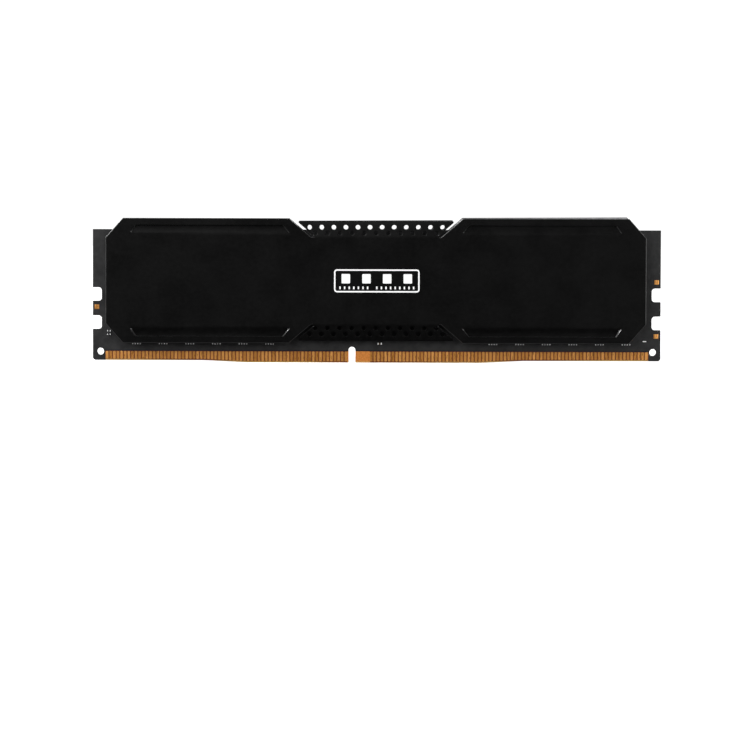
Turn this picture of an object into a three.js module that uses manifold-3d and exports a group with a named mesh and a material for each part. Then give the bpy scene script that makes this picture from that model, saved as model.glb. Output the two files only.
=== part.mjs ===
// Desktop memory module: a 288-contact board between two stamped aluminium heat spreader plates.
//
// Millimetres. X runs along the module, the front faces -Y and Z points up. The origin is the middle
// of the card edge, halfway through the board, where the module stands on the floor of its socket.

import * as THREE from 'three';
import { mergeVertices } from 'three/addons/utils/BufferGeometryUtils.js';
import Module from 'manifold-3d';

const wasm = await Module();
wasm.setup();

// ---------------------------------------------------------------- driving dimensions

const FRONT = -1;
const REAR = 1;
const SIDES = { front: FRONT, rear: REAR };

const BOARD = {
  length: 133.35,
  height: 31.25,
  thickness: 1.4,
  cornerCut: 0.45,
  cornerHole: { inset: 1.78, z: 2.55, radius: 0.83 },
};

// The card edge is lowest in its middle and steps up towards both ends along two gentle slopes.
const CARD_EDGE = { left: -30.175, right: 24.225, slope: 10.2, rise: 0.5 };

const KEY_NOTCH = { x: -5.8, width: 1.6, top: 3.73 };
const LATCH_NOTCH = { depth: 2.1, height: 3.2, corner: 0.75, centres: [9.4, 16.0] };

// Contacts stand in two groups, one on each side of the key notch, alike on both faces.
const CONTACT = { pitch: 0.85, width: 0.6, foil: 0.04, foot: 0.3, top: 2.6, joinHeight: 0.1 };
const CONTACT_GROUPS = {
  left: { firstX: -63.325, count: 67 },
  right: { firstX: -1.275, count: 77 },
};

const TEST_PAD = { size: 1.05 };
const TEST_PADS = {
  left: { x: -65.7, z: 13.0 },
  right_upper: { x: 65.7, z: 19.05 },
  right_lower: { x: 65.6, z: 6.35 },
};

// Memory packages stand on solder balls, four on each side of the middle, on both faces.
const PACKAGE = {
  width: 7.5,
  height: 11.0,
  thickness: 0.85,
  standoff: 0.3,
  z: 18.0,
  innerX: 18.5,
  pitch: 12.8,
  perHalf: 4,
};

const THERMAL_PAD = { length: 123.0, height: 13.0, thickness: 0.55, x: 0, z: 18.0 };

const RESISTOR_ARRAY = { length: 2.0, height: 1.0, thickness: 0.4, z: 4.75, pitch: 6.25, perHalf: 6 };
const RESISTOR_FIRST_X = { left: -56.4, right: 27.3 };

const RESISTOR_PAIR = { length: 0.8, height: 1.1, thickness: 0.35, x: -62.87, z: 6.95 };
const CAPACITOR = { length: 1.0, height: 0.5, thickness: 0.5 };
const CAPACITORS = {
  edge: { x: 0.7, z: 4.5 },
  supply_1: { x: -9.0, z: 22.5 },
  supply_2: { x: -9.0, z: 14.0 },
  supply_3: { x: 9.0, z: 22.5 },
  supply_4: { x: 9.0, z: 14.0 },
};

const PRESENCE_CHIP = { length: 3.0, height: 2.0, thickness: 0.75, x: 0, z: 18.0 };

const SPREADER = {
  length: 126.4,
  bottom: 4.7,
  top: 33.9,
  thickness: 1.2,
  cut: { x: 4.0, z: 4.55 },
};

// The thermal pads glue the plates to the packages, so the stack sets how far out the plates stand.
const PLATE_INNER = BOARD.thickness / 2 + PACKAGE.standoff + PACKAGE.thickness + THERMAL_PAD.thickness;
const PLATE_OUTER = PLATE_INNER + SPREADER.thickness;
const PLATE_MIDDLE = (SPREADER.top + SPREADER.bottom) / 2;
const PLATE_HALF = (SPREADER.top - SPREADER.bottom) / 2;

// Each plate is glued on by hand, a hair off its place, and the rear one leans by a hair too.
const GLUED = {
  front: { shift: -0.2, rise: 0, lean: 0 },
  rear: { shift: -0.15, rise: 0.1, lean: THREE.MathUtils.degToRad(0.3) },
};

// A flap in the middle of each long edge is freed by two slanting slots and bent in towards the board.
const FLAP = {
  bend: PLATE_HALF - 4.4,
  tip: PLATE_HALF - 0.55,
  recess: 0.8,
  slotInnerX: 15.2,
  slotOuterX: 20.35,
  slotWidth: 1.0,
  root: 0.5,
};

const VENT_ROWS = [
  { count: 12, radius: 0.57, z: PLATE_HALF - 2.1 },
  { count: 11, radius: 0.48, z: PLATE_HALF - 3.5 },
];
const VENT_PITCH = 2.835;
const VENT_SIDES = 10;

// A shallow pocket along each wing's edge: a sharp step on the edge side and a ramp on the other.
const POCKET = {
  depth: 0.4,
  step: { z: PLATE_HALF - 1.6, from: 21.9, to: 56.0 },
  ramp: { z: PLATE_HALF - 3.5, from: 20.1, to: 57.5 },
  clearance: 1.0,
};

const LABEL = { length: 52.0, height: 14.0, thickness: 0.1, x: 0, z: PLATE_MIDDLE };

const MATERIALS = {
  board: { color: 0x101113, roughness: 0.5, metalness: 0.0 },
  gold: { color: 0xb9853f, roughness: 0.35, metalness: 1.0 },
  blackAluminium: { color: 0x0b0b0c, roughness: 0.55, metalness: 0.6 },
  mouldedEpoxy: { color: 0x17181a, roughness: 0.7, metalness: 0.0 },
  siliconePad: { color: 0x8f949b, roughness: 0.9, metalness: 0.0 },
  blackCeramic: { color: 0x1a1a1c, roughness: 0.5, metalness: 0.0 },
  brownCeramic: { color: 0x7a5a3c, roughness: 0.5, metalness: 0.0 },
  labelPaper: { color: 0xd9dadb, roughness: 0.6, metalness: 0.0 },
};

// ---------------------------------------------------------------- helpers

const module = new THREE.Group();

function addPart(name, geometry, materialName) {
  const mesh = new THREE.Mesh(geometry, new THREE.MeshStandardMaterial(MATERIALS[materialName]));
  mesh.name = name;
  module.add(mesh);
  return mesh;
}

// A shape drawn in X and Z, as thick as the span between two distances in Y.
function slab(shape, yFrom, yTo) {
  const depth = Math.abs(yTo - yFrom);
  const geometry = new THREE.ExtrudeGeometry(shape, { depth, bevelEnabled: false, curveSegments: 6 });
  geometry.rotateX(Math.PI / 2);
  geometry.translate(0, Math.max(yFrom, yTo), 0);
  return geometry;
}

// A profile drawn in Y and Z, as long as the span between -halfLength and +halfLength in X.
function bar(points, halfLength) {
  const shape = new THREE.Shape(points.map(([y, z]) => new THREE.Vector2(-z, y)));
  const geometry = new THREE.ExtrudeGeometry(shape, { depth: 2 * halfLength, bevelEnabled: false });
  geometry.rotateY(Math.PI / 2);
  geometry.translate(-halfLength, 0, 0);
  return geometry;
}

function polygon(points) {
  return new THREE.Shape(points.map(([x, z]) => new THREE.Vector2(x, z)));
}

// A block on one face of the board: from `gap` above the face to `gap + thickness` above it.
function addBlockOnBoard(name, size, place, side, materialName, gap = 0) {
  const geometry = new THREE.BoxGeometry(size.length, size.thickness, size.height);
  const block = addPart(name, geometry, materialName);
  block.position.set(place.x, side * (BOARD.thickness / 2 + gap + size.thickness / 2), place.z);
}

function toSolid(geometry) {
  geometry.deleteAttribute('normal');
  geometry.deleteAttribute('uv');
  const merged = mergeVertices(geometry);
  const mesh = new wasm.Mesh({
    numProp: 3,
    vertProperties: merged.attributes.position.array,
    triVerts: Uint32Array.from(merged.index.array),
  });
  return new wasm.Manifold(mesh);
}

function toGeometry(solid) {
  const { vertProperties, triVerts } = solid.getMesh();
  const geometry = new THREE.BufferGeometry();
  geometry.setAttribute('position', new THREE.BufferAttribute(vertProperties, 3));
  geometry.setIndex(new THREE.BufferAttribute(triVerts, 1));
  geometry.computeVertexNormals();
  return geometry;
}

// ---------------------------------------------------------------- board

// Height of the card edge at a place along the board.
function cardEdgeHeight(x) {
  const beyond = Math.max(CARD_EDGE.left - x, x - CARD_EDGE.right, 0);
  return CARD_EDGE.rise * Math.min(beyond / CARD_EDGE.slope, 1);
}

// Carries the outline through one latch notch, upwards on the right end and downwards on the left.
function cutLatchNotch(shape, end, centre) {
  const { depth, height, corner } = LATCH_NOTCH;
  const edge = (end * BOARD.length) / 2;
  const arcX = edge - end * (depth - corner);
  const enterZ = centre - (end * height) / 2;
  const leaveZ = centre + (end * height) / 2;
  const start = (-end * Math.PI) / 2;
  shape.lineTo(edge, enterZ);
  shape.lineTo(arcX, enterZ);
  shape.absarc(arcX, enterZ + end * corner, corner, start, start - Math.PI / 2, true);
  shape.absarc(arcX, leaveZ - end * corner, corner, start - Math.PI / 2, start - Math.PI, true);
  shape.lineTo(edge, leaveZ);
}

function cutKeyNotch(shape) {
  const radius = KEY_NOTCH.width / 2;
  shape.lineTo(KEY_NOTCH.x - radius, 0);
  shape.lineTo(KEY_NOTCH.x - radius, KEY_NOTCH.top - radius);
  shape.absarc(KEY_NOTCH.x, KEY_NOTCH.top - radius, radius, Math.PI, 0, true);
  shape.lineTo(KEY_NOTCH.x + radius, 0);
}

function boardOutline() {
  const half = BOARD.length / 2;
  const cut = BOARD.cornerCut;
  const { left, right, slope, rise } = CARD_EDGE;
  const shape = new THREE.Shape();
  shape.moveTo(-half + cut, rise);
  shape.lineTo(left - slope, rise);
  shape.lineTo(left, 0);
  cutKeyNotch(shape);
  shape.lineTo(right, 0);
  shape.lineTo(right + slope, rise);
  shape.lineTo(half - cut, rise);
  shape.lineTo(half, rise + cut);
  LATCH_NOTCH.centres.forEach((centre) => cutLatchNotch(shape, 1, centre));
  shape.lineTo(half, BOARD.height);
  shape.lineTo(-half, BOARD.height);
  LATCH_NOTCH.centres.toReversed().forEach((centre) => cutLatchNotch(shape, -1, centre));
  shape.lineTo(-half, rise + cut);
  return shape;
}

function addBoard() {
  const outline = boardOutline();
  const { inset, z, radius } = BOARD.cornerHole;
  for (const end of [-1, 1]) {
    const hole = new THREE.Path();
    hole.absarc(end * (BOARD.length / 2 - inset), z, radius, 0, 2 * Math.PI, true);
    outline.holes.push(hole);
  }
  addPart('pcb', slab(outline, -BOARD.thickness / 2, BOARD.thickness / 2), 'board');
}

// ---------------------------------------------------------------- contacts and test pads

// One group of contacts: foil fingers, joined along their tops by a thin strip of the same foil.
function contactGroupShape({ firstX, count }) {
  const half = CONTACT.width / 2;
  const join = CONTACT.top - CONTACT.joinHeight;
  const lastX = firstX + (count - 1) * CONTACT.pitch;
  const points = [];
  for (let i = 0; i < count; i += 1) {
    const x = firstX + i * CONTACT.pitch;
    const foot = cardEdgeHeight(x) + CONTACT.foot;
    points.push([x - half, join], [x - half, foot], [x + half, foot], [x + half, join]);
  }
  points.push([lastX + half, CONTACT.top], [firstX - half, CONTACT.top]);
  return polygon(points);
}

function addContacts() {
  const face = BOARD.thickness / 2;
  for (const [sideName, side] of Object.entries(SIDES)) {
    for (const [groupName, group] of Object.entries(CONTACT_GROUPS)) {
      const geometry = slab(contactGroupShape(group), side * face, side * (face + CONTACT.foil));
      addPart(`contacts_${sideName}_${groupName}`, geometry, 'gold');
    }
  }
}

function addTestPads() {
  const size = { length: TEST_PAD.size, height: TEST_PAD.size, thickness: CONTACT.foil };
  for (const [name, place] of Object.entries(TEST_PADS)) {
    addBlockOnBoard(`test_pad_${name}`, size, place, FRONT, 'gold');
  }
}

// ---------------------------------------------------------------- components on the board

// Places from left to right of the packages on one face.
function packagePlaces() {
  const rightHalf = Array.from({ length: PACKAGE.perHalf }, (_, i) => PACKAGE.innerX + i * PACKAGE.pitch);
  return [...rightHalf.map((x) => -x).reverse(), ...rightHalf];
}

function addMemoryPackages() {
  const size = { length: PACKAGE.width, height: PACKAGE.height, thickness: PACKAGE.thickness };
  for (const [sideName, side] of Object.entries(SIDES)) {
    packagePlaces().forEach((x, i) => {
      const name = `memory_${sideName}_${i + 1}`;
      addBlockOnBoard(name, size, { x, z: PACKAGE.z }, side, 'mouldedEpoxy', PACKAGE.standoff);
    });
  }
}

function addResistorArrays() {
  for (const [sideName, side] of Object.entries(SIDES)) {
    for (const [halfName, firstX] of Object.entries(RESISTOR_FIRST_X)) {
      for (let i = 0; i < RESISTOR_ARRAY.perHalf; i += 1) {
        const place = { x: firstX + i * RESISTOR_ARRAY.pitch, z: RESISTOR_ARRAY.z };
        const name = `resistors_${sideName}_${halfName}_${i + 1}`;
        addBlockOnBoard(name, RESISTOR_ARRAY, place, side, 'blackCeramic');
      }
    }
  }
}

function addSmallComponents() {
  addBlockOnBoard('presence_chip', PRESENCE_CHIP, PRESENCE_CHIP, FRONT, 'mouldedEpoxy');
  addBlockOnBoard('resistor_pair', RESISTOR_PAIR, RESISTOR_PAIR, FRONT, 'blackCeramic');
  for (const [name, place] of Object.entries(CAPACITORS)) {
    addBlockOnBoard(`capacitor_${name}`, CAPACITOR, place, FRONT, 'brownCeramic');
  }
}

function addThermalPads() {
  const gap = PACKAGE.standoff + PACKAGE.thickness;
  for (const [sideName, side] of Object.entries(SIDES)) {
    const name = `thermal_pad_${sideName}`;
    addBlockOnBoard(name, THERMAL_PAD, THERMAL_PAD, side, 'siliconePad', gap);
  }
}

// ---------------------------------------------------------------- heat spreader plates
//
// A plate is drawn round its own middle and then moved to its place, because its two long edges
// and its two ends are alike. `edge` is +1 for the top edge and -1 for the bottom one.

function plateOutline() {
  const x = SPREADER.length / 2;
  const { x: cutX, z: cutZ } = SPREADER.cut;
  return polygon([
    [-x + cutX, -PLATE_HALF],
    [x - cutX, -PLATE_HALF],
    [x, -PLATE_HALF + cutZ],
    [x, PLATE_HALF - cutZ],
    [x - cutX, PLATE_HALF],
    [-x + cutX, PLATE_HALF],
    [-x, PLATE_HALF - cutZ],
    [-x, -PLATE_HALF + cutZ],
  ]);
}

// Half width of the opening that frees a flap, at a height above the bend.
function slotX(z) {
  const along = (z - FLAP.bend) / (PLATE_HALF - FLAP.bend);
  return FLAP.slotInnerX + along * (FLAP.slotOuterX - FLAP.slotInnerX);
}

function flapWindow(edge, side) {
  const beyond = PLATE_HALF + 1;
  const window = polygon([
    [-slotX(FLAP.bend), edge * FLAP.bend],
    [slotX(FLAP.bend), edge * FLAP.bend],
    [slotX(beyond), edge * beyond],
    [-slotX(beyond), edge * beyond],
  ]);
  return toSolid(slab(window, side * (PLATE_INNER - 1), side * (PLATE_OUTER + 1)));
}

function flap(edge, side) {
  const { bend, tip, recess, root, slotWidth } = FLAP;
  const profile = [
    [side * PLATE_OUTER, edge * (bend - root)],
    [side * PLATE_OUTER, edge * bend],
    [side * (PLATE_OUTER - recess), edge * tip],
    [side * (PLATE_INNER - recess), edge * tip],
    [side * PLATE_INNER, edge * bend],
    [side * PLATE_INNER, edge * (bend - root)],
  ];
  const rootX = slotX(bend) - slotWidth;
  const tipX = slotX(tip) - slotWidth;
  const face = polygon([
    [-rootX, edge * (bend - root)],
    [rootX, edge * (bend - root)],
    [rootX, edge * bend],
    [tipX, edge * tip],
    [-tipX, edge * tip],
    [-rootX, edge * bend],
  ]);
  const bent = toSolid(bar(profile, SPREADER.length / 2));
  const trim = toSolid(slab(face, side * (PLATE_INNER - recess - 1), side * (PLATE_OUTER + 1)));
  return bent.intersect(trim);
}

function pocket(edge, end, side) {
  const { depth, step, ramp, clearance } = POCKET;
  const profile = [
    [side * (PLATE_OUTER + clearance), edge * step.z],
    [side * (PLATE_OUTER - depth), edge * step.z],
    [side * PLATE_OUTER, edge * ramp.z],
    [side * (PLATE_OUTER + clearance), edge * ramp.z],
  ];
  const face = polygon([
    [end * step.from, edge * step.z],
    [end * step.to, edge * step.z],
    [end * ramp.to, edge * ramp.z],
    [end * ramp.from, edge * ramp.z],
  ]);
  const wedge = toSolid(bar(profile, SPREADER.length / 2));
  const trim = toSolid(slab(face, side * (PLATE_OUTER - 2 * depth), side * (PLATE_OUTER + 2 * clearance)));
  return wedge.intersect(trim);
}

function vent(x, z, radius, side) {
  const hole = new THREE.CylinderGeometry(radius, radius, 2 * PLATE_OUTER, VENT_SIDES);
  hole.translate(x, side * (PLATE_OUTER + 0.5), z);
  return toSolid(hole);
}

function heatSpreader(side) {
  let plate = toSolid(slab(plateOutline(), side * PLATE_INNER, side * PLATE_OUTER));
  for (const edge of [-1, 1]) {
    plate = plate.subtract(flapWindow(edge, side)).add(flap(edge, side));
    for (const end of [-1, 1]) {
      plate = plate.subtract(pocket(edge, end, side));
    }
    for (const row of VENT_ROWS) {
      const firstX = (-(row.count - 1) * VENT_PITCH) / 2;
      for (let i = 0; i < row.count; i += 1) {
        plate = plate.subtract(vent(firstX + i * VENT_PITCH, edge * row.z, row.radius, side));
      }
    }
  }
  return toGeometry(plate);
}

function addHeatSpreaders() {
  for (const [sideName, side] of Object.entries(SIDES)) {
    const plate = addPart(`heat_spreader_${sideName}`, heatSpreader(side), 'blackAluminium');
    const { shift, rise, lean } = GLUED[sideName];
    plate.position.set(shift, 0, PLATE_MIDDLE + rise);
    plate.rotation.y = -lean;
  }
}

function addLabel() {
  const gap = PLATE_OUTER - BOARD.thickness / 2;
  addBlockOnBoard('label_rear', LABEL, LABEL, REAR, 'labelPaper', gap);
}

// ---------------------------------------------------------------- assembly

addBoard();
addContacts();
addTestPads();
addMemoryPackages();
addResistorArrays();
addSmallComponents();
addThermalPads();
addHeatSpreaders();
addLabel();

export default module;
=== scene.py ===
"""Desktop memory module between two stamped black heat spreader plates, on a white studio floor.

Lengths are written in millimetres and turned into the frame's metres when a mesh is finished.
X runs along the module, the front faces -Y and Z points up from the card edge.
`end` is -1 for the left end and 1 for the right one. `edge` is -1 for the lower edge and 1 for the upper.
"""

import math

import bmesh
import bpy
from mathutils import Matrix, Vector


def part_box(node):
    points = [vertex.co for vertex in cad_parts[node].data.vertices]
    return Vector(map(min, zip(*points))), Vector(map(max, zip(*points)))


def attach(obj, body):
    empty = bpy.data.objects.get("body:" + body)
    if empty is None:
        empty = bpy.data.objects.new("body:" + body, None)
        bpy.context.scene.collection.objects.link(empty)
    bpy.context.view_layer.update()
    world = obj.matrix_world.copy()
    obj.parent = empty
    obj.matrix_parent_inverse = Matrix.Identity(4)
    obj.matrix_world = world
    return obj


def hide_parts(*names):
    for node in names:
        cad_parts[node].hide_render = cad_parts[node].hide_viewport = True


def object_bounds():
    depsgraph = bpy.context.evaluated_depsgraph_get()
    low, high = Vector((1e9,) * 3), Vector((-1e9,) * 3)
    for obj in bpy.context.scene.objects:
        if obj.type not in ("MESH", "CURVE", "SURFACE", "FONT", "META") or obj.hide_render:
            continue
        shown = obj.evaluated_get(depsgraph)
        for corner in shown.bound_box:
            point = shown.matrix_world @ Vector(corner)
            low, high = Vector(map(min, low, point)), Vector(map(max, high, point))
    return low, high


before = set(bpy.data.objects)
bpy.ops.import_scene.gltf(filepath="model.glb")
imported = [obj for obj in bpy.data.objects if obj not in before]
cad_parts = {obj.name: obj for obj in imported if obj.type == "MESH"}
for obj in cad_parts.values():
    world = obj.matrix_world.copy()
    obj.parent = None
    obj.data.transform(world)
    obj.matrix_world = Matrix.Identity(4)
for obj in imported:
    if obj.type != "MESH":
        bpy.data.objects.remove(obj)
CAD_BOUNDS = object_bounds()

MM = 0.001
FRONT = -1
REAR = 1
SIDES = {"front": FRONT, "rear": REAR}
ROOT = "root"


def box_mm(node):
    """Lowest and highest corner of a CAD node, in millimetres."""
    low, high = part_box(node)
    return Vector(low) / MM, Vector(high) / MM


def span_mm(node):
    """Where a CAD node starts and ends along the module, in millimetres."""
    low, high = box_mm(node)
    return low.x, high.x


# ------------------------------------------------------------------ sizes taken from the frame

BOARD_LOW, BOARD_HIGH = box_mm("pcb")
BOARD_FACE = BOARD_HIGH.y
PLATE_LOW, PLATE_HIGH = box_mm("heat_spreader_front")
PLATE_OUTER = -PLATE_LOW.y
PLATE_INNER = box_mm("thermal_pad_rear")[1].y
PLATE_MIDDLE = (PLATE_LOW.z + PLATE_HIGH.z) / 2
PLATE_HALF = (PLATE_HIGH.z - PLATE_LOW.z) / 2
PLATE_END = (PLATE_HIGH.x - PLATE_LOW.x) / 2
FOIL = box_mm("contacts_rear_left")[1].y - BOARD_FACE
CONTACT_SPANS = [span_mm("contacts_front_left"), span_mm("contacts_front_right")]

# ------------------------------------------------------------------ sizes of the finer shapes

# How finely curves are drawn
FILLET_STEPS = 6
CIRCLE_STEPS = 24

# A distance too small to matter, for telling on which side of a line a point lies
HAIR = 0.01

# How much of a face's normal has to lie along Y for the face to count as facing the front or the rear.
# The last two are for the plates' outer and inner skin, and leave out every facet of a rounded edge.
FACING = 0.9
FACING_SQUARELY = 0.99
FACING_OUT = 0.94
FACING_IN = 0.95

# The board's outline: corners, corner holes, sloped ends of the card edge, key notch and latch notches
CORNER_CUT = 0.45
CORNER_HOLE_INSET = 1.78
CORNER_HOLE_Z = 2.55
CORNER_HOLE_RADIUS = 0.83
EDGE_LEFT = -30.175
EDGE_RIGHT = 24.225
EDGE_SLOPE = 10.2
EDGE_RISE = 0.5
EDGE_BEVEL = 0.28
KEY_X = -5.8
KEY_WIDTH = 1.6
KEY_TOP = 3.73
KEY_ROUNDING = 0.98 * KEY_WIDTH / 2
LATCH_DEPTH = 2.1
LATCH_HEIGHT = 3.2
LATCH_CORNER = 0.75
LATCH_CENTRES = (9.4, 16.0)

# Where the solder mask ends round the bare stretch of the card edge
MASK_EDGE_Z = 2.68
MASK_END_LEFT = -63.68
MASK_END_RIGHT = 63.8
MASK_RIM = 0.24

# Contacts and test pads
CONTACT_PITCH = 0.85
CONTACT_WIDTH = 0.6
CONTACT_ROUNDING = 0.22
CONTACT_RIM = 0.015
CONTACT_SHOULDER = 0.6 * FOIL
CONTACT_FOOT = EDGE_BEVEL + 0.02
PAD_GROOVE = 0.09

# Plates: the ink on them, their skin, their rounded edges, their lean and their cut corners.
# The skin lies far enough in for the ink on it to stay inside the CAD plate.
PRINT = 0.02
PLATE_SKIN = PLATE_OUTER - 1.25 * PRINT
PLATE_ROUNDING = 0.13
PLATE_LEAN = {"front": 0.0, "rear": math.radians(0.3)}
PLATE_CUT_X = 4.0
PLATE_CUT_Z = 4.55

# Flaps bent out of the plates, the slots that free them and the vents in them
FLAP_BEND = PLATE_HALF - 4.4
FLAP_TIP = PLATE_HALF - 0.55
FLAP_RECESS = 0.8
FLAP_RADIUS = 0.25
SLOT_INNER_X = 15.2
SLOT_OUTER_X = 20.35
SLOT_WIDTH = 1.0
VENT_PITCH = 2.835
VENT_ROWS = ((12, 0.57, PLATE_HALF - 2.1), (11, 0.48, PLATE_HALF - 3.5))

# Pockets pressed into the wings: a bowl that deepens from the ramp to the step, and its short walls
POCKET_DEPTH = 0.4
POCKET_STEPS = 9
POCKET_BEND = 0.35
BOWL_TURN = math.radians(101)
BOWL_POWER = 0.75
STEP_Z = PLATE_HALF - 1.6
STEP_X = (21.9, 56.0)
STEP_WALL = 0.03
RAMP_Z = PLATE_HALF - 3.5
RAMP_X = (20.1, 57.5)
END_WALL = 0.3
RIM_DROP = 0.07

# Small components: the share of the body that the solder terminals take up, and the rounded edges
RESISTOR_TERMINAL_WIDTH = 0.5
RESISTOR_TERMINAL_HEIGHT = 0.28
CAPACITOR_CAP_LENGTH = 0.26
BODY_ROUNDING = 0.03
TERMINAL_ROUNDING = 0.06

# Memory packages and the balls under them
SUBSTRATE_THICKNESS = 0.22
BALL_RADIUS = 0.22
BALL_SQUASH = 0.66
BALL_PITCH = 0.8
BALL_ROWS = range(-6, 7)
BALL_COLUMNS = (-4, -3, -2, 2, 3, 4)


# ------------------------------------------------------------------ outlines


def fillet(before, corner, after, radius):
    """Points of the arc that rounds one corner of an outline."""
    to_before = (before - corner).normalized()
    to_after = (after - corner).normalized()
    half = to_before.angle(to_after) / 2
    centre = corner + (to_before + to_after).normalized() * (radius / math.sin(half))
    start = corner + to_before * (radius / math.tan(half)) - centre
    end = corner + to_after * (radius / math.tan(half)) - centre
    turn = start.angle_signed(end)
    turns = [-turn * i / FILLET_STEPS for i in range(FILLET_STEPS + 1)]
    return [centre + Matrix.Rotation(angle, 2) @ start for angle in turns]


def outline(corners):
    """Closed outline from corners given as (x, z) or (x, z, radius)."""
    places = [Vector(corner[:2]) for corner in corners]
    points = []
    for i, corner in enumerate(corners):
        if len(corner) == 2:
            points.append(places[i])
        else:
            points += fillet(places[i - 1], places[i], places[(i + 1) % len(places)], corner[2])
    return points


def circle(x, z, radius):
    """Closed round hole, wound the other way round from an outline."""
    turns = [-2 * math.pi * i / CIRCLE_STEPS for i in range(CIRCLE_STEPS)]
    return [Vector((x + radius * math.cos(a), z + radius * math.sin(a))) for a in turns]


def rectangle(low_x, low_z, high_x, high_z, radius):
    """Closed outline of an upright rectangle with rounded corners."""
    corners = [(low_x, low_z), (high_x, low_z), (high_x, high_z), (low_x, high_z)]
    return outline([(*corner, radius) for corner in corners])


# ------------------------------------------------------------------ mesh helpers


def slab(loops, thickness, rounding=0.0):
    """Flat plate in X and Z, centred on Y = 0, with rounded edges.

    The first loop is its outline, and the others are holes.
    """
    curve = bpy.data.curves.new("loops", "CURVE")
    curve.dimensions = "2D"
    curve.fill_mode = "BOTH"
    curve.extrude = thickness / 2 - rounding
    curve.bevel_depth = rounding
    curve.bevel_resolution = 1
    curve.offset = -rounding
    for loop in loops:
        spline = curve.splines.new("POLY")
        spline.points.add(len(loop) - 1)
        for point, place in zip(spline.points, loop):
            point.co = (place.x, place.y, 0, 1)
        spline.use_cyclic_u = True
    holder = bpy.data.objects.new("loops", curve)
    bm = bmesh.new()
    bm.from_mesh(holder.to_mesh())
    holder.to_mesh_clear()
    bpy.data.objects.remove(holder)
    bpy.data.curves.remove(curve)
    bmesh.ops.remove_doubles(bm, verts=bm.verts, dist=1e-4)
    upright = Matrix.Rotation(math.pi / 2, 3, "X")
    bmesh.ops.rotate(bm, cent=(0, 0, 0), matrix=upright, verts=bm.verts)
    bmesh.ops.recalc_face_normals(bm, faces=bm.faces)
    return bm


def paint(faces, material):
    """Gives faces a material, by its place in the finished piece's list."""
    for face in faces:
        face.material_index = material


def add_block(bm, centre, size, rounding, material=0):
    """Adds a block with rounded edges. `material` counts in the finished piece's list."""
    verts = bmesh.ops.create_cube(bm, size=1)["verts"]
    bmesh.ops.scale(bm, vec=size, verts=verts)
    bmesh.ops.translate(bm, vec=centre, verts=verts)
    edges = {edge for vert in verts for edge in vert.link_edges}
    shape = {"offset": rounding, "segments": 2, "profile": 0.5, "affect": "EDGES", "clamp_overlap": True}
    made = bmesh.ops.bevel(bm, geom=list(edges), **shape)
    paint({face for vert in made["verts"] for face in vert.link_faces}, material)


def add_slab(bm, loops, y_low, y_high, rounding=0.0, material=0):
    """Adds a flat plate between two places in Y."""
    part = slab(loops, y_high - y_low, rounding)
    bmesh.ops.translate(part, vec=(0, (y_low + y_high) / 2, 0), verts=part.verts)
    paint(part.faces, material)
    mesh = bpy.data.meshes.new("part")
    part.to_mesh(mesh)
    part.free()
    bm.from_mesh(mesh)
    bpy.data.meshes.remove(mesh)


def cut(bm, point, normal, faces):
    """Adds edges where a plane crosses some of the faces."""
    geometry = set(faces)
    for face in faces:
        geometry.update(face.edges)
        geometry.update(face.verts)
    bmesh.ops.bisect_plane(bm, geom=list(geometry), plane_co=point, plane_no=normal, dist=1e-4)


def flip_to(bm, side):
    """Mirrors a piece that was drawn facing the front, if it belongs on the rear."""
    if side == REAR:
        bmesh.ops.scale(bm, vec=(1, -1, 1), verts=bm.verts)
        bmesh.ops.reverse_faces(bm, faces=bm.faces)


def make_piece(name, bm, materials, sharp=12.0):
    """Turns a mesh in millimetres into a piece that rides with the module.

    Edges that turn by `sharp` degrees or more are shaded as sharp ones.
    """
    limit = math.radians(sharp)
    for edge in bm.edges:
        edge.smooth = edge.calc_face_angle(math.pi) < limit
    for face in bm.faces:
        face.smooth = True
    bmesh.ops.scale(bm, vec=(MM, MM, MM), verts=bm.verts)
    mesh = bpy.data.meshes.new(name)
    bm.to_mesh(mesh)
    bm.free()
    for material in materials:
        mesh.materials.append(material)
    piece = bpy.data.objects.new(name, mesh)
    bpy.context.scene.collection.objects.link(piece)
    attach(piece, ROOT)
    return piece


# ------------------------------------------------------------------ materials


# The share of a texture's values that is spread over the whole range of what it drives
TEXTURE_LOW = 0.35
TEXTURE_HIGH = 0.65
CLOTH_PITCH = 0.45


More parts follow.
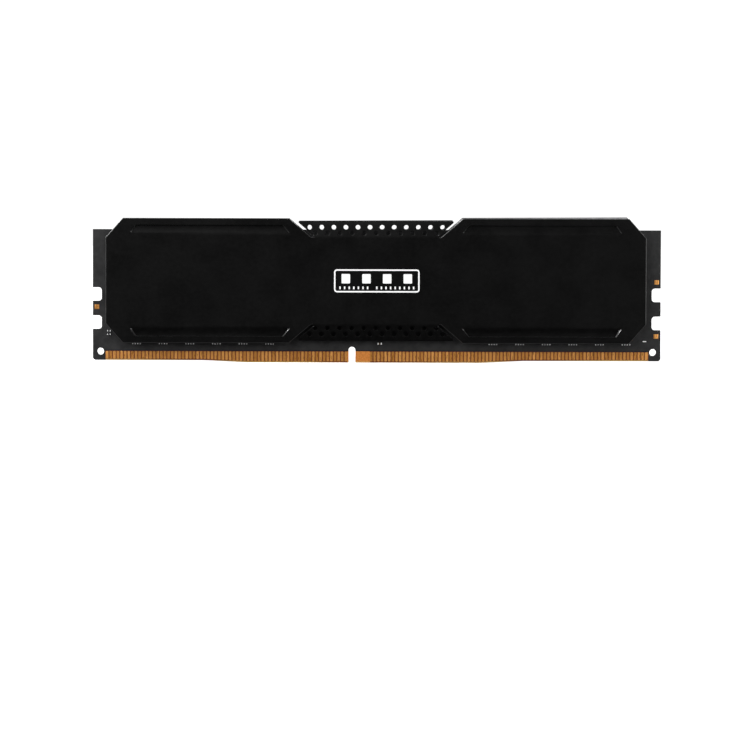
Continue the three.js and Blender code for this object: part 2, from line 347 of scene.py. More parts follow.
class Look:
    """A procedural material: one Principled shader and the textures that drive it.

    `color` is the plain colour, which a tint replaces.
    """

    def __init__(self, name, color, roughness, metallic=0.0, specular=0.5):
        self.material = bpy.data.materials.new(name)
        self.material.use_nodes = True
        self.nodes = self.material.node_tree.nodes
        self.links = self.material.node_tree.links
        self.shader = self.nodes["Principled BSDF"]
        self.shader.inputs["Base Color"].default_value = (*color, 1)
        self.shader.inputs["Roughness"].default_value = roughness
        self.shader.inputs["Metallic"].default_value = metallic
        self.shader.inputs["Specular IOR Level"].default_value = specular
        self.place = self.nodes.new("ShaderNodeTexCoord").outputs["Object"]
        self.heights = None

    def noise(self, size, detail, stretch=(1, 1, 1)):
        """Cloudy noise whose grains are about `size` millimetres across."""
        mapping = self.nodes.new("ShaderNodeMapping")
        mapping.inputs["Scale"].default_value = stretch
        texture = self.nodes.new("ShaderNodeTexNoise")
        texture.inputs["Scale"].default_value = 1 / (size * MM)
        texture.inputs["Detail"].default_value = detail
        self.links.new(self.place, mapping.inputs["Vector"])
        self.links.new(mapping.outputs["Vector"], texture.inputs["Vector"])
        return texture.outputs["Fac"]

    def weave(self):
        """Threads of glass cloth that cross each other."""
        bands = []
        for axis in ("X", "Z"):
            wave = self.nodes.new("ShaderNodeTexWave")
            wave.bands_direction = axis
            # a wave texture of scale 1 repeats every pi / 10
            wave.inputs["Scale"].default_value = math.pi / (10 * CLOTH_PITCH * MM)
            wave.inputs["Distortion"].default_value = 0.6
            self.links.new(self.place, wave.inputs["Vector"])
            bands.append(wave.outputs["Fac"])
        return self.calculate("MAXIMUM", *bands)

    def calculate(self, operation, *values):
        """A sum, product or other operation on sockets or numbers."""
        node = self.nodes.new("ShaderNodeMath")
        node.operation = operation
        for socket, value in zip(node.inputs, values):
            if isinstance(value, (int, float)):
                socket.default_value = value
            else:
                self.links.new(value, socket)
        return node.outputs["Value"]

    def tint(self, source, dark, light, start=TEXTURE_LOW, stop=TEXTURE_HIGH):
        """Drives the base colour between two colours."""
        ramp = self.nodes.new("ShaderNodeValToRGB")
        ramp.color_ramp.elements[0].position = start
        ramp.color_ramp.elements[0].color = (*dark, 1)
        ramp.color_ramp.elements[1].position = stop
        ramp.color_ramp.elements[1].color = (*light, 1)
        self.links.new(source, ramp.inputs["Fac"])
        self.links.new(ramp.outputs["Color"], self.shader.inputs["Base Color"])

    def roughen(self, source, low, high):
        """Drives the roughness between two values."""
        node = self.nodes.new("ShaderNodeMapRange")
        node.inputs["From Min"].default_value = TEXTURE_LOW
        node.inputs["From Max"].default_value = TEXTURE_HIGH
        node.inputs["To Min"].default_value = low
        node.inputs["To Max"].default_value = high
        self.links.new(source, node.inputs["Value"])
        self.links.new(node.outputs["Result"], self.shader.inputs["Roughness"])

    def bump(self, source, height):
        """Raises the surface by up to `height` millimetres, on top of any bump before it."""
        node = self.nodes.new("ShaderNodeBump")
        node.inputs["Strength"].default_value = 1.0
        node.inputs["Distance"].default_value = height * MM
        self.links.new(source, node.inputs["Height"])
        if self.heights is not None:
            self.links.new(self.heights, node.inputs["Normal"])
        self.heights = node.outputs["Normal"]
        self.links.new(self.heights, self.shader.inputs["Normal"])


def anodised_look():
    """Black anodised aluminium, for the plates' outer skin."""
    look = Look("black_anodised", (0.0022, 0.0022, 0.0022), 0.42, specular=0.08)
    look.tint(look.noise(0.9, 4), (0.0016, 0.0016, 0.0016), (0.003, 0.003, 0.003))
    look.roughen(look.noise(6, 3), 0.38, 0.5)
    look.bump(look.noise(0.18, 3), 0.006)
    return look.material


def edge_and_glint_look():
    """Burnished black aluminium for the plates' edges, lighter than the skin as a painted glint along
    them.
    """
    look = Look("burnished_edge_and_painted_glint", (0.02, 0.02, 0.02), 0.3, specular=0.6)
    # a base about ten times lighter than the skin: partly burnished metal, partly a painted glint
    look.tint(look.noise(0.5, 4), (0.015, 0.015, 0.015), (0.025, 0.025, 0.025))
    look.roughen(look.noise(1.5, 3), 0.28, 0.36)
    look.bump(look.noise(0.5, 2), 0.002)
    return look.material


def inner_look():
    """Satin aluminium, for the plates' inner skin."""
    look = Look("satin_aluminium", (0.34, 0.34, 0.35), 0.45, metallic=0.4)
    look.tint(look.noise(1.5, 3), (0.3, 0.3, 0.31), (0.38, 0.38, 0.39))
    look.roughen(look.noise(0.8, 3), 0.38, 0.55)
    look.bump(look.noise(0.15, 2, (0.2, 1, 1)), 0.002)
    return look.material


def mask_look():
    """Black solder mask over woven glass cloth."""
    look = Look("solder_mask", (0.016, 0.016, 0.0165), 0.45, specular=0.3)
    look.tint(look.noise(1.2, 5), (0.012, 0.012, 0.0125), (0.02, 0.02, 0.0205))
    look.roughen(look.noise(3, 2), 0.38, 0.55)
    look.bump(look.weave(), 0.004)
    look.bump(look.noise(0.3, 3), 0.008)
    return look.material


def mask_rim_look():
    """The darker, bluish rim at which the solder mask ends."""
    look = Look("mask_rim", (0.005, 0.009, 0.016), 0.4, specular=0.2)
    look.tint(look.noise(0.6, 3), (0.004, 0.007, 0.013), (0.006, 0.011, 0.019))
    look.bump(look.weave(), 0.004)
    return look.material


def laminate_look(name, dark, light):
    """Bare laminate that shows its glass cloth."""
    look = Look(name, light, 0.5, specular=0.3)
    look.tint(look.noise(0.35, 3), dark, light)
    look.bump(look.weave(), 0.006)
    return look.material


def gold_look():
    """Gold plating in which each contact has a shade of its own and is wiped lengthwise."""
    look = Look("gold_foil", (0.62, 0.36, 0.12), 0.34, metallic=0.5)
    axes = look.nodes.new("ShaderNodeSeparateXYZ")
    look.links.new(look.place, axes.inputs["Vector"])
    count = look.calculate("FLOOR", look.calculate("DIVIDE", axes.outputs["X"], CONTACT_PITCH * MM))
    shade = look.nodes.new("ShaderNodeTexWhiteNoise")
    shade.noise_dimensions = "1D"
    look.links.new(count, shade.inputs["W"])
    wiped = look.calculate("MULTIPLY", look.noise(0.5, 2, (1, 1, 0.3)), 0.25)
    mixed = look.calculate("ADD", look.calculate("MULTIPLY", shade.outputs["Value"], 0.4), wiped)
    look.tint(mixed, (0.5, 0.2, 0.035), (0.84, 0.39, 0.1), 0.1, 0.6)
    look.roughen(look.noise(0.2, 2, (1, 1, 0.15)), 0.25, 0.42)
    return look.material


def solder_look():
    """Tin solder."""
    look = Look("solder", (0.85, 0.85, 0.85), 0.35, metallic=0.2)
    look.roughen(look.noise(0.1, 3), 0.25, 0.5)
    look.bump(look.noise(0.12, 3), 0.003)
    return look.material


def epoxy_look():
    """Black moulding compound."""
    look = Look("moulded_epoxy", (0.018, 0.018, 0.02), 0.6, specular=0.4)
    look.tint(look.noise(0.15, 4), (0.013, 0.013, 0.014), (0.026, 0.026, 0.028))
    look.bump(look.noise(0.08, 2), 0.008)
    return look.material


def substrate_look():
    """The thin green board inside a memory package."""
    look = Look("package_substrate", (0.02, 0.05, 0.03), 0.4)
    look.tint(look.noise(0.3, 3), (0.014, 0.035, 0.02), (0.03, 0.065, 0.04))
    return look.material


def resistor_look():
    """Black glazed ceramic."""
    look = Look("resistor_glaze", (0.012, 0.012, 0.014), 0.35)
    look.tint(look.noise(0.2, 3), (0.009, 0.009, 0.01), (0.018, 0.018, 0.02))
    return look.material


def capacitor_look():
    """Dark brown ceramic."""
    look = Look("capacitor_ceramic", (0.06, 0.035, 0.02), 0.45)
    look.tint(look.noise(0.15, 4), (0.045, 0.025, 0.015), (0.08, 0.05, 0.03))
    look.bump(look.noise(0.06, 2), 0.004)
    return look.material


def silicone_look():
    """Grey filled silicone."""
    look = Look("silicone_pad", (0.3, 0.32, 0.35), 0.75, specular=0.3)
    look.tint(look.noise(0.4, 5), (0.24, 0.26, 0.29), (0.36, 0.38, 0.41))
    look.bump(look.noise(0.25, 4), 0.03)
    return look.material


def white_ink_look():
    """White printing ink."""
    look = Look("white_ink", (1.0, 1.0, 1.0), 0.55, specular=0.3)
    look.tint(look.noise(0.3, 4), (0.94, 0.94, 0.94), (1.0, 1.0, 1.0))
    look.bump(look.noise(0.1, 3), 0.003)
    return look.material


def grey_ink_look():
    """Grey printing ink."""
    look = Look("grey_ink", (0.12, 0.12, 0.125), 0.6)
    look.tint(look.noise(0.2, 4), (0.09, 0.09, 0.095), (0.16, 0.16, 0.165))
    return look.material


def label_look():
    """Pale label stock."""
    look = Look("label_stock", (0.7, 0.7, 0.71), 0.45)
    look.tint(look.noise(0.5, 5), (0.68, 0.68, 0.69), (0.72, 0.72, 0.73))
    look.roughen(look.noise(2, 3), 0.35, 0.55)
    look.bump(look.noise(0.2, 3), 0.004)
    return look.material


ANODISED = anodised_look()
EDGE_AND_GLINT = edge_and_glint_look()
INNER = inner_look()
MASK = mask_look()
MASK_EDGE = mask_rim_look()
LAMINATE = laminate_look("bare_laminate", (0.42, 0.14, 0.02), (0.6, 0.21, 0.035))
# Laminate between the contacts, darker than the bare laminate: painted shade between the gold fingers.
SHADED_GAP_LAMINATE = laminate_look("laminate_painted_shade_between_contacts", (0.09, 0.022, 0.004), (0.2, 0.055, 0.009))
# Cut laminate on the card edge's bevels and walls: the core's own yellower colour, lightened as a painted
# highlight of the lit bevel.
CORE_WITH_HIGHLIGHT = laminate_look("cut_laminate_with_painted_highlight", (0.6, 0.36, 0.1), (0.75, 0.48, 0.16))
GOLD = gold_look()
SOLDER = solder_look()
EPOXY = epoxy_look()
SUBSTRATE = substrate_look()
GLAZE = resistor_look()
CERAMIC = capacitor_look()
SILICONE = silicone_look()
WHITE_INK = white_ink_look()
GREY_INK = grey_ink_look()
LABEL_STOCK = label_look()

BOARD_MATERIALS = [MASK, MASK_EDGE, LAMINATE, SHADED_GAP_LAMINATE, CORE_WITH_HIGHLIGHT]
PLATE_MATERIALS = [ANODISED, EDGE_AND_GLINT, INNER]


# ------------------------------------------------------------------ board


def card_edge_z(x):
    """Height of the card edge at a place along the board."""
    beyond = max(EDGE_LEFT - x, x - EDGE_RIGHT, 0)
    return EDGE_RISE * min(beyond / EDGE_SLOPE, 1)


def latch_corners(end, centre):
    """Corners of one latch notch, upwards on the right end and downwards on the left."""
    edge = BOARD_HIGH.x * end
    floor = edge - end * LATCH_DEPTH
    enter = centre - end * LATCH_HEIGHT / 2
    leave = centre + end * LATCH_HEIGHT / 2
    return [(edge, enter), (floor, enter, LATCH_CORNER), (floor, leave, LATCH_CORNER), (edge, leave)]


def board_outline():
    """Outline of the board with its key notch and latch notches, starting at the lower left."""
    half = BOARD_HIGH.x
    key_half = KEY_WIDTH / 2
    corners = [
        (-half + CORNER_CUT, EDGE_RISE),
        (EDGE_LEFT - EDGE_SLOPE, EDGE_RISE),
        (EDGE_LEFT, 0),
        (KEY_X - key_half, 0),
        (KEY_X - key_half, KEY_TOP, KEY_ROUNDING),
        (KEY_X + key_half, KEY_TOP, KEY_ROUNDING),
        (KEY_X + key_half, 0),
        (EDGE_RIGHT, 0),
        (EDGE_RIGHT + EDGE_SLOPE, EDGE_RISE),
        (half - CORNER_CUT, EDGE_RISE),
        (half, EDGE_RISE + CORNER_CUT),
        *latch_corners(1, LATCH_CENTRES[0]),
        *latch_corners(1, LATCH_CENTRES[1]),
        (half, BOARD_HIGH.z),
        (-half, BOARD_HIGH.z),
        *latch_corners(-1, LATCH_CENTRES[1]),
        *latch_corners(-1, LATCH_CENTRES[0]),
        (-half, EDGE_RISE + CORNER_CUT),
    ]
    return outline(corners)


def card_edge_faces(bm):
    """Faces of the board's front and rear that lie below the rim of the solder mask."""
    top = MASK_EDGE_Z + MASK_RIM
    low = [face for face in bm.faces if face.calc_center_median().z < top]
    return [face for face in low if abs(face.normal.y) > FACING]


def bevel_card_edge(bm):
    """Slopes both faces of the board in towards its lower edge, along the bare stretch."""
    bends = (EDGE_LEFT - EDGE_SLOPE, EDGE_LEFT, EDGE_RIGHT, EDGE_RIGHT + EDGE_SLOPE)
    corners = (-BOARD_HIGH.x, *bends, BOARD_HIGH.x)
    for x in bends:
        cut(bm, (x, 0, 0), (1, 0, 0), card_edge_faces(bm))
    for x_from, x_to in zip(corners, corners[1:]):
        z_from = card_edge_z(x_from) + EDGE_BEVEL
        z_to = card_edge_z(x_to) + EDGE_BEVEL
        between = [face for face in card_edge_faces(bm) if x_from < face.calc_center_median().x < x_to]
        cut(bm, (x_from, 0, z_from), (z_from - z_to, 0, x_to - x_from), between)
    for vert in bm.verts:
        bare = MASK_END_LEFT - HAIR < vert.co.x < MASK_END_RIGHT + HAIR
        if bare and vert.co.z < card_edge_z(vert.co.x) + HAIR:
            vert.co.y *= 1 - EDGE_BEVEL / BOARD_FACE
    bm.normal_update()


def board_material(face):
    """Material of one face of the board: mask, its rim, bare laminate, laminate between the contacts
    darkened as painted shade, or cut core partly lightened as a painted highlight.
    """
    centre = face.calc_center_median()
    if centre.z < MASK_EDGE_Z and MASK_END_LEFT < centre.x < MASK_END_RIGHT:
        # sloped and cut faces get the core colour, partly a painted highlight
        if abs(face.normal.y) < FACING_SQUARELY:
            return CORE_WITH_HIGHLIGHT
        # between the contacts the laminate is darkened as painted shade
        return SHADED_GAP_LAMINATE if any(low < centre.x < high for low, high in CONTACT_SPANS) else LAMINATE
    by_ends = MASK_END_LEFT - MASK_RIM < centre.x < MASK_END_RIGHT + MASK_RIM
    return MASK_EDGE if by_ends and centre.z < MASK_EDGE_Z + MASK_RIM else MASK


def make_board():
    """The board, bare and bevelled along the contacts and masked everywhere else."""
    hole_x = BOARD_HIGH.x - CORNER_HOLE_INSET
    holes = [circle(end * hole_x, CORNER_HOLE_Z, CORNER_HOLE_RADIUS) for end in (-1, 1)]
    bm = slab([board_outline(), *holes], BOARD_HIGH.y - BOARD_LOW.y)
    for z in (MASK_EDGE_Z + MASK_RIM, MASK_EDGE_Z):
        upright = [face for face in bm.faces if abs(face.normal.y) > FACING]
        cut(bm, (0, 0, z), (0, 0, 1), upright)
    rims = (MASK_END_LEFT - MASK_RIM, MASK_END_LEFT, MASK_END_RIGHT, MASK_END_RIGHT + MASK_RIM)
    for x in (*rims, *CONTACT_SPANS[0], *CONTACT_SPANS[1]):
        cut(bm, (x, 0, 0), (1, 0, 0), card_edge_faces(bm))
    bevel_card_edge(bm)
    for face in bm.faces:
        face.material_index = BOARD_MATERIALS.index(board_material(face))
    board = make_piece("board", bm, BOARD_MATERIALS)
    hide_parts("pcb")


# ------------------------------------------------------------------ contacts and test pads


def contact_finger(bm, x, low, high):
    """One foil finger on the front face, with rounded corners and a softened rim."""
    half = CONTACT_WIDTH / 2
    rim = CONTACT_RIM
    base = rectangle(x - half, low, x + half, high, CONTACT_ROUNDING)
    crown = rectangle(x - half + rim, low + rim, x + half - rim, high - rim, CONTACT_ROUNDING - rim)
    rings = [
        [bm.verts.new((point.x, y, point.y)) for point in loop]
        for loop, y in ((base, 0), (base, -CONTACT_SHOULDER), (crown, -FOIL))
    ]
    for lower, upper in zip(rings, rings[1:]):
        for i in range(len(lower)):
            after = (i + 1) % len(lower)
            bm.faces.new((lower[i], lower[after], upper[after], upper[i]))
    bm.faces.new(rings[-1])
    bm.faces.new(rings[0][::-1])


def make_contacts(node, side):
    """The separate fingers of one group of contacts."""
    low, high = box_mm(node)
    count = round((high.x - low.x - CONTACT_WIDTH) / CONTACT_PITCH) + 1
    bm = bmesh.new()
    for i in range(count):
        x = low.x + CONTACT_WIDTH / 2 + i * CONTACT_PITCH
        contact_finger(bm, x, card_edge_z(x) + CONTACT_FOOT, high.z)
    bmesh.ops.translate(bm, vec=(0, -BOARD_FACE, 0), verts=bm.verts)
    bmesh.ops.recalc_face_normals(bm, faces=bm.faces)
    flip_to(bm, side)
    fingers = make_piece(node + "_fingers", bm, [GOLD], 20)
    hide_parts(node)


def make_test_pad(node):
    """A gold test pad, parted into four by fine grooves."""
    low, high = box_mm(node)
    middle = (low + high) / 2
    quarter = (high.x - low.x) / 4
    width = 2 * quarter - PAD_GROOVE
    bm = bmesh.new()
    add_block(bm, middle + Vector((0, FOIL / 4, 0)), (4 * quarter, FOIL / 2, 4 * quarter), 0.005)
    for x in (-1, 1):
        for z in (-1, 1):
            centre = middle + Vector((x * quarter, 0, z * quarter))
            add_block(bm, centre, (width, FOIL, width), 0.012)
    pad = make_piece(node + "_foil", bm, [GOLD], 30)
    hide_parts(node)


# ------------------------------------------------------------------ heat spreader plates


def plate_outline():
    """Outline of a plate round its own middle, with the flaps freed by their slots."""
    run = (FLAP_TIP - FLAP_BEND) / (PLATE_HALF - FLAP_BEND)
    tip_x = SLOT_INNER_X + run * (SLOT_OUTER_X - SLOT_INNER_X) - SLOT_WIDTH
    root_x = SLOT_INNER_X - SLOT_WIDTH
    left = [
        (-PLATE_END + PLATE_CUT_X, -PLATE_HALF, 0.4),
        (-SLOT_OUTER_X, -PLATE_HALF, 0.35),
        (-SLOT_INNER_X, -FLAP_BEND, 0.2),
        (-root_x, -FLAP_BEND, 0.2),
        (-tip_x, -FLAP_TIP, 0.32),
    ]
    right = [(-x, z, radius) for x, z, radius in reversed(left)]
    ends = [
        (PLATE_END, -PLATE_HALF + PLATE_CUT_Z, 0.4),
        (PLATE_END, PLATE_HALF - PLATE_CUT_Z, 0.4),
    ]
    lower = left + right + ends
    upper = [(-x, -z, radius) for x, z, radius in lower]
    return outline(lower + upper)


def vent_holes():
    """The two rows of round vents in each flap."""
    holes = []
    for edge in (-1, 1):
        for count, radius, z in VENT_ROWS:
            first = -(count - 1) * VENT_PITCH / 2
            holes += [circle(first + i * VENT_PITCH, edge * z, radius) for i in range(count)]
    return holes


def pocket_depth(x, z):
    """How deep the outer skin lies at a place on a wing: its pockets and its drooping rims."""
    across, up = abs(x), abs(z)
    droop = RIM_DROP * max(up - STEP_Z, 0) / (PLATE_HALF - STEP_Z)
    start_z = RAMP_Z - POCKET_BEND
    along = min(max((up - start_z) / (STEP_Z - start_z), 0), 1)
    start = RAMP_X[0] + along * (STEP_X[0] - RAMP_X[0])
    stop = RAMP_X[1] + along * (STEP_X[1] - RAMP_X[1])
    past_end = max(start - across, across - stop, 0) / END_WALL
    past_step = max(up - STEP_Z, 0) / STEP_WALL
    bowl = math.sin(BOWL_TURN * along**BOWL_POWER) ** 2
    return droop + POCKET_DEPTH * bowl * max(1 - max(past_end, past_step), 0)


def skin_faces(bm, end, edge):
    """Faces of the plate's outer skin in one quarter of the plate."""
    skin = [(face, face.calc_center_median()) for face in bm.faces if face.normal.y < -FACING]
    return [face for face, centre in skin if centre.x * end > 0 and centre.z * edge > 0]


def press_pocket(bm, end, edge):
    """Cuts the edges of one pocket and sinks its floor."""
    start_z = RAMP_Z - POCKET_BEND
    levels = [start_z + (STEP_Z - start_z) * i / POCKET_STEPS for i in range(POCKET_STEPS + 1)]
    for z in (*levels, STEP_Z + STEP_WALL):
        cut(bm, (0, 0, edge * z), (0, 0, 1), skin_faces(bm, end, edge))
    for ramp_x, step_x, out in ((RAMP_X[0], STEP_X[0], -1), (RAMP_X[1], STEP_X[1], 1)):
        normal = (end * (STEP_Z - start_z), 0, edge * (ramp_x - step_x))
        for offset in (0, END_WALL):
            place = (end * (ramp_x + out * offset), 0, edge * start_z)
            cut(bm, place, normal, skin_faces(bm, end, edge))
    for vert in {vert for face in skin_faces(bm, end, edge) for vert in face.verts}:
        vert.co.y += pocket_depth(vert.co.x, vert.co.z)


def is_on_flap(place):
    """Whether a place on the plate lies on one of the flaps, inside its two slots."""
    beyond = abs(place.z) - FLAP_BEND
    run = (SLOT_OUTER_X - SLOT_INNER_X) / (PLATE_HALF - FLAP_BEND)
    middle_of_slot = SLOT_INNER_X - SLOT_WIDTH / 2 + max(beyond, 0) * run
    return abs(place.x) < middle_of_slot and beyond > -FLAP_RADIUS


def bend_flaps(bm):
    """Bends the two flaps in towards the board, with a small radius at the bend."""
    for edge in (-1, 1):
        for z in (FLAP_BEND - FLAP_RADIUS, FLAP_BEND, FLAP_BEND + FLAP_RADIUS):
            cut(bm, (0, 0, edge * z), (0, 0, 1), list(bm.faces))
    slope = FLAP_RECESS / (FLAP_TIP - FLAP_BEND)
    for vert in bm.verts:
        if is_on_flap(vert.co):
            beyond = abs(vert.co.z) - FLAP_BEND
            start = (beyond + FLAP_RADIUS) ** 2 / (4 * FLAP_RADIUS)
            vert.co.y += slope * (start if beyond < FLAP_RADIUS else beyond)


def plate_material(face):
    """Material of one face of a plate: outer skin, burnished edge lightened as a painted glint, or inner
    skin.
    """
    if face.normal.y > FACING_IN:
        return INNER
    # the flaps' edges keep the dark skin with no painted glint, and every other edge gets the painted
    # glint
    return ANODISED if face.normal.y < -FACING_OUT or is_on_flap(face.calc_center_median()) else EDGE_AND_GLINT


def make_plate(side_name, side):
    """One heat spreader plate, with its vents, pressed pockets and bent flaps."""
    node = "heat_spreader_" + side_name
    low, high = box_mm(node)
    thickness = PLATE_SKIN - PLATE_INNER
    bm = slab([plate_outline(), *vent_holes()], thickness, PLATE_ROUNDING)
    for axis in ((1, 0, 0), (0, 0, 1)):
        cut(bm, (0, 0, 0), axis, list(bm.faces))
    for end in (-1, 1):
        for edge in (-1, 1):
            press_pocket(bm, end, edge)
    bm.normal_update()
    for face in bm.faces:
        face.material_index = PLATE_MATERIALS.index(plate_material(face))
    bend_flaps(bm)
    bmesh.ops.translate(bm, vec=(0, -(PLATE_SKIN + PLATE_INNER) / 2, 0), verts=bm.verts)
    flip_to(bm, side)
    leaning = Matrix.Rotation(-PLATE_LEAN[side_name], 3, "Y")
    bmesh.ops.rotate(bm, cent=(0, 0, 0), matrix=leaning, verts=bm.verts)
    bmesh.ops.translate(bm, vec=((low.x + high.x) / 2, 0, (low.z + high.z) / 2), verts=bm.verts)
    plate = make_piece(f"{side_name}_plate", bm, PLATE_MATERIALS)
    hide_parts(node)


# ------------------------------------------------------------------ components on the board


def add_ball_grid(bm, middle, material):
    """Adds the solder balls of one memory package, in two blocks of columns."""
    for row in BALL_ROWS:
        for column in BALL_COLUMNS:
            ball = bmesh.ops.create_uvsphere(bm, u_segments=8, v_segments=5, radius=BALL_RADIUS)["verts"]
            bmesh.ops.scale(bm, vec=(1, BALL_SQUASH, 1), verts=ball)
            place = middle + Vector((column * BALL_PITCH, 0, row * BALL_PITCH))
            bmesh.ops.translate(bm, vec=place, verts=ball)
            paint({face for vert in ball for face in vert.link_faces}, material)


def make_package(node, side):
    """A memory package: moulded cap, thin substrate and a grid of solder balls."""
    low, high = box_mm(node)
    middle = (low + high) / 2
    near, far = sorted((abs(low.y), abs(high.y)))
    seam = near + SUBSTRATE_THICKNESS
    width, height = high.x - low.x, high.z - low.z
    cap_middle = Vector((middle.x, side * (seam + far) / 2, middle.z))
    base_middle = Vector((middle.x, side * (near + seam) / 2, middle.z))
    balls_middle = Vector((middle.x, side * (BOARD_FACE + near) / 2, middle.z))
    bm = bmesh.new()
    add_block(bm, cap_middle, (width, far - seam, height), 0.08, 0)
    add_block(bm, base_middle, (width, SUBSTRATE_THICKNESS, height), 0.02, 1)
    add_ball_grid(bm, balls_middle, 2)
    package = make_piece(node + "_package", bm, [EPOXY, SUBSTRATE, SOLDER], 40)
    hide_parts(node)


def make_resistors(node, columns):
    """Resistors side by side in one body, with a solder terminal at the top and bottom of each."""
    low, high = box_mm(node)
    middle = (low + high) / 2
    length, thickness, height = high - low
    width = RESISTOR_TERMINAL_WIDTH * length / columns
    cap = RESISTOR_TERMINAL_HEIGHT * height
    pitch = (length - width) / (columns - 1)
    bm = bmesh.new()
    add_block(bm, middle, (length - 0.04, thickness - 0.04, height - 0.08), BODY_ROUNDING, 0)
    for column in range(columns):
        x = low.x + width / 2 + column * pitch
        for z in (low.z + cap / 2, high.z - cap / 2):
            add_block(bm, (x, middle.y, z), (width, thickness, cap), TERMINAL_ROUNDING, 1)
    piece = make_piece(node + "_body", bm, [GLAZE, SOLDER], 40)
    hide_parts(node)


def make_capacitor(node):
    """A ceramic capacitor with a plated cap on each end."""
    low, high = box_mm(node)
    middle = (low + high) / 2
    length, thickness, height = high - low
    cap = CAPACITOR_CAP_LENGTH * length
    bm = bmesh.new()
    add_block(bm, middle, (length - 0.06, thickness - 0.05, height - 0.05), BODY_ROUNDING, 0)
    for x in (low.x + cap / 2, high.x - cap / 2):
        add_block(bm, (x, middle.y, middle.z), (cap, thickness, height), TERMINAL_ROUNDING, 1)
    piece = make_piece(node + "_body", bm, [CERAMIC, SOLDER], 40)
    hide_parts(node)


def make_presence_chip():
    """A small memory chip that tells the computer what the module is."""
    low, high = box_mm("presence_chip")
    middle = (low + high) / 2
    length, thickness, height = high - low
    lead = Vector((0.26, 0.12, 0.24))
    bm = bmesh.new()
    add_block(bm, middle, (length, thickness, height - 0.2), 0.05, 0)
    for column in range(4):
        x = low.x + (column + 0.5) * length / 4
        for z in (low.z + lead.z / 2, high.z - lead.z / 2):
            add_block(bm, (x, high.y - lead.y / 2, z), lead, 0.02, 1)
    piece = make_piece("presence_chip_body", bm, [EPOXY, SOLDER], 40)
    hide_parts("presence_chip")


def make_thermal_pad(node):
    """A soft filled pad with rounded rims."""
    low, high = box_mm(node)
    bm = bmesh.new()
    add_block(bm, (low + high) / 2, high - low, 0.16)
    pad = make_piece(node + "_sheet", bm, [SILICONE], 40)
    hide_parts(node)


# ------------------------------------------------------------------ printed marks and label


def make_board_mark():
    """A short white dash printed on the board, beside the plate's lower right corner."""
    left, low, right, high = 62.48, 5.03, 63.34, 5.27
    bm = bmesh.new()
    add_slab(bm, [rectangle(left, low, right, high, 0.1)], -BOARD_FACE - PRINT, -BOARD_FACE)
    make_piece("board_mark", bm, [WHITE_INK])


def make_emblem():
    """A plain white pictogram of a memory module, printed on the front plate."""
    width, height, stroke = 20.0, 5.4, 0.34
    chips, chip_pitch, chip_half = 4, 4.83, 1.0
    pins, pin_pitch, pin_half, key_pin = 17, 1.075, 0.17, 7
    left, low = -width / 2, PLATE_MIDDLE - height / 2
    right, high = width / 2, PLATE_MIDDLE + height / 2
    y_low, y_high = -PLATE_SKIN - PRINT, -PLATE_SKIN
    rim = rectangle(left, low, right, high, 0.7)
    opening = rectangle(left + stroke, low + stroke, right - stroke, high - stroke, 0.35)
    bm = bmesh.new()
    add_slab(bm, [rim, opening[::-1]], y_low, y_high)
    for i in range(chips):
        x = left + 2.75 + i * chip_pitch
        chip = rectangle(x - chip_half, low + 2.1, x + chip_half, high - 1.1, 0.2)
        add_slab(bm, [chip], y_low, y_high)
    for i in range(pins):
        if i != key_pin:
            x = left + 1.4 + i * pin_pitch
            pin = rectangle(x - pin_half, low + 0.75, x + pin_half, low + 1.4, 0.08)
            add_slab(bm, [pin], y_low, y_high)
    make_piece("emblem_print", bm, [WHITE_INK])


def make_label():
    """A plain label on the rear plate, with blocks and bars in place of any text."""
    low, high = box_mm("label_rear")
    sheet_high = high.y - 1.5 * PRINT
    first, bar_low, bar_high = low.x + 3, low.z + 2, low.z + 6
    bars, rows = 26, 3
    bm = bmesh.new()
    add_slab(bm, [rectangle(low.x, low.z, high.x, high.z, 1.0)], PLATE_SKIN, sheet_high, 0.02)
    marks = []
    x = first
    for i in range(bars):
        # bars of three widths in turn, which stand for nothing
        wide = 0.3 + 0.3 * (i % 3)
        marks.append(rectangle(x, bar_low, x + wide, bar_high, 0.02))
        x += wide + 0.35 + 0.2 * (i % 2)
    for row in range(rows):
        z = high.z - 3.0 - row * 1.6
        marks.append(rectangle(first, z, high.x - 8.0 - row * 5.0, z + 0.7, 0.1))
    for mark in marks:
        add_slab(bm, [mark], sheet_high, sheet_high + PRINT, 0, 1)
    label = make_piece("label_sheet", bm, [LABEL_STOCK, GREY_INK])
    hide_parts("label_rear")


# ------------------------------------------------------------------ studio, in metres

FLOOR_HALF = 3.0
FLOOR_GLOW = 0.9

# How bright the white room is as a light, as a reflection and to the camera
ROOM_LIGHT = 0.4
ROOM_MIRRORED = 0.08
ROOM_SEEN = 1.1

LAMP_TARGET = (0, 0, 0.018)
CAMERA_TARGET = Vector((0.00028, 0, 0.01702))
CAMERA_DISTANCE = 0.6
CAMERA_ELEVATION = math.radians(1.5)
CAMERA_ROLL = math.radians(0.15)
SENSOR_WIDTH = 36
FRAME_WIDTH = 0.17774
FRAME_DROP = 0.02062


def aim(thing, target):
    """Turns a light or the camera to look at a place."""
    thing.rotation_euler = (Vector(target) - thing.location).to_track_quat("-Z", "Y").to_euler()


def add_softbox(name, location, size, watts, only_mirrored=False):
    """A soft square panel of light turned to the module. Some panels are only seen as reflections."""
    light = bpy.data.lights.new(name, "AREA")
    light.shape = "SQUARE"
    light.size = size
    light.energy = watts
    holder = bpy.data.objects.new(name, light)
    holder.location = location
    holder.visible_camera = False
    holder.visible_diffuse = not only_mirrored
    bpy.context.scene.collection.objects.link(holder)
    aim(holder, LAMP_TARGET)


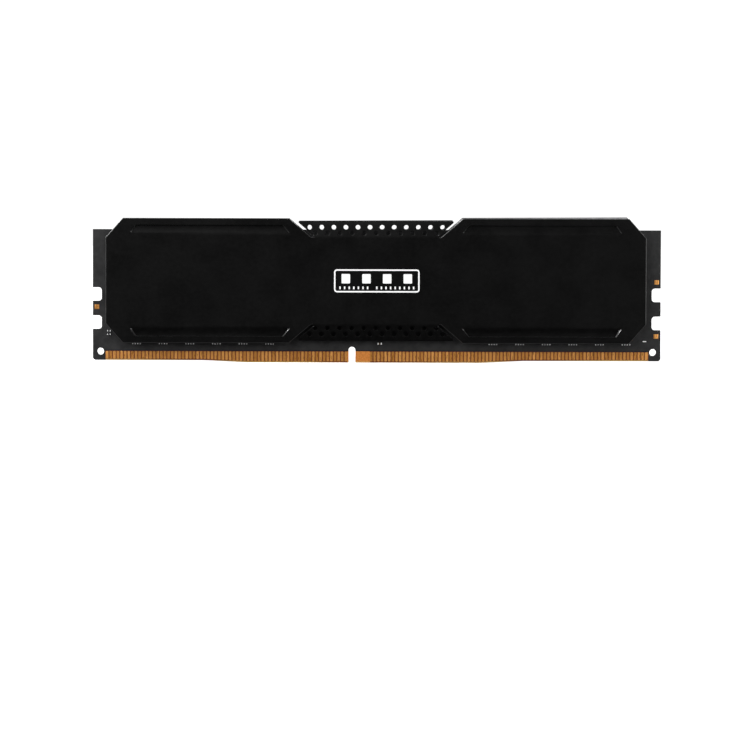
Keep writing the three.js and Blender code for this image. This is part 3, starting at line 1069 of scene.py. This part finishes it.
def add_floor():
    """A wide pale lit table that casts no light of its own on the module."""
    look = Look("studio_floor", (0.95, 0.95, 0.95), 0.9, specular=0.0)
    look.tint(look.noise(60, 2), (0.94, 0.94, 0.94), (0.96, 0.96, 0.96))
    look.shader.inputs["Emission Color"].default_value = (1, 1, 1, 1)
    look.shader.inputs["Emission Strength"].default_value = FLOOR_GLOW
    bm = bmesh.new()
    bmesh.ops.create_grid(bm, x_segments=2, y_segments=2, size=FLOOR_HALF)
    mesh = bpy.data.meshes.new("floor")
    bm.to_mesh(mesh)
    bm.free()
    mesh.materials.append(look.material)
    floor = bpy.data.objects.new("floor", mesh)
    floor.location = (0, 0, CAD_BOUNDS[0].z)
    floor.visible_glossy = False
    floor.visible_diffuse = False
    bpy.context.scene.collection.objects.link(floor)


def white_room(nodes, strength):
    """Shader of an even white room."""
    room = nodes.new("ShaderNodeBackground")
    room.inputs["Color"].default_value = (1, 1, 1, 1)
    room.inputs["Strength"].default_value = strength
    return room.outputs["Background"]


def set_world():
    """A white room that lights the module, and is mirrored by it, more dimly than it is seen."""
    world = bpy.data.worlds.new("studio")
    world.use_nodes = True
    nodes, links = world.node_tree.nodes, world.node_tree.links
    rays = nodes.new("ShaderNodeLightPath")
    shader = white_room(nodes, ROOM_LIGHT)
    for strength, ray in ((ROOM_MIRRORED, "Is Glossy Ray"), (ROOM_SEEN, "Is Camera Ray")):
        mix = nodes.new("ShaderNodeMixShader")
        links.new(rays.outputs[ray], mix.inputs["Fac"])
        links.new(shader, mix.inputs[1])
        links.new(white_room(nodes, strength), mix.inputs[2])
        shader = mix.outputs["Shader"]
    links.new(shader, nodes["World Output"].inputs["Surface"])
    bpy.context.scene.world = world


def add_camera():
    """A long lens a little above the module, shifted so that the module stands high in the frame."""
    camera = bpy.data.cameras.new("camera")
    camera.sensor_width = SENSOR_WIDTH
    camera.lens = SENSOR_WIDTH * CAMERA_DISTANCE / FRAME_WIDTH
    camera.shift_y = -FRAME_DROP / FRAME_WIDTH
    holder = bpy.data.objects.new("camera", camera)
    back = Vector((0, -math.cos(CAMERA_ELEVATION), math.sin(CAMERA_ELEVATION)))
    holder.location = CAMERA_TARGET + back * CAMERA_DISTANCE
    bpy.context.scene.collection.objects.link(holder)
    aim(holder, CAMERA_TARGET)
    holder.rotation_euler.rotate_axis("Z", CAMERA_ROLL)
    bpy.context.scene.camera = holder


# ------------------------------------------------------------------ the whole scene

make_board()
for side_name, side in SIDES.items():
    make_plate(side_name, side)
    make_thermal_pad("thermal_pad_" + side_name)
    for group in ("left", "right"):
        make_contacts(f"contacts_{side_name}_{group}", side)
        for i in range(1, 7):
            make_resistors(f"resistors_{side_name}_{group}_{i}", 4)
    for i in range(1, 9):
        make_package(f"memory_{side_name}_{i}", side)
for pad in ("left", "right_upper", "right_lower"):
    make_test_pad("test_pad_" + pad)
for place in ("edge", "supply_1", "supply_2", "supply_3", "supply_4"):
    make_capacitor("capacitor_" + place)
make_resistors("resistor_pair", 2)
make_presence_chip()
make_board_mark()
make_emblem()
make_label()

bpy.context.scene.view_settings.view_transform = "Standard"
add_floor()
set_world()
add_softbox("key", (-0.38, -0.4, 0.32), 0.5, 4.0)
add_softbox("fill", (0.45, -0.4, 0.06), 0.4, 1.0)
add_softbox("sheen", (0.35, -0.45, 0.05), 0.3, 0.7, only_mirrored=True)
add_softbox("left_glint", (-0.4, 0.08, 0.4), 0.5, 28, only_mirrored=True)
add_softbox("right_glint", (0.28, 0.12, 0.45), 0.4, 9, only_mirrored=True)
add_camera()
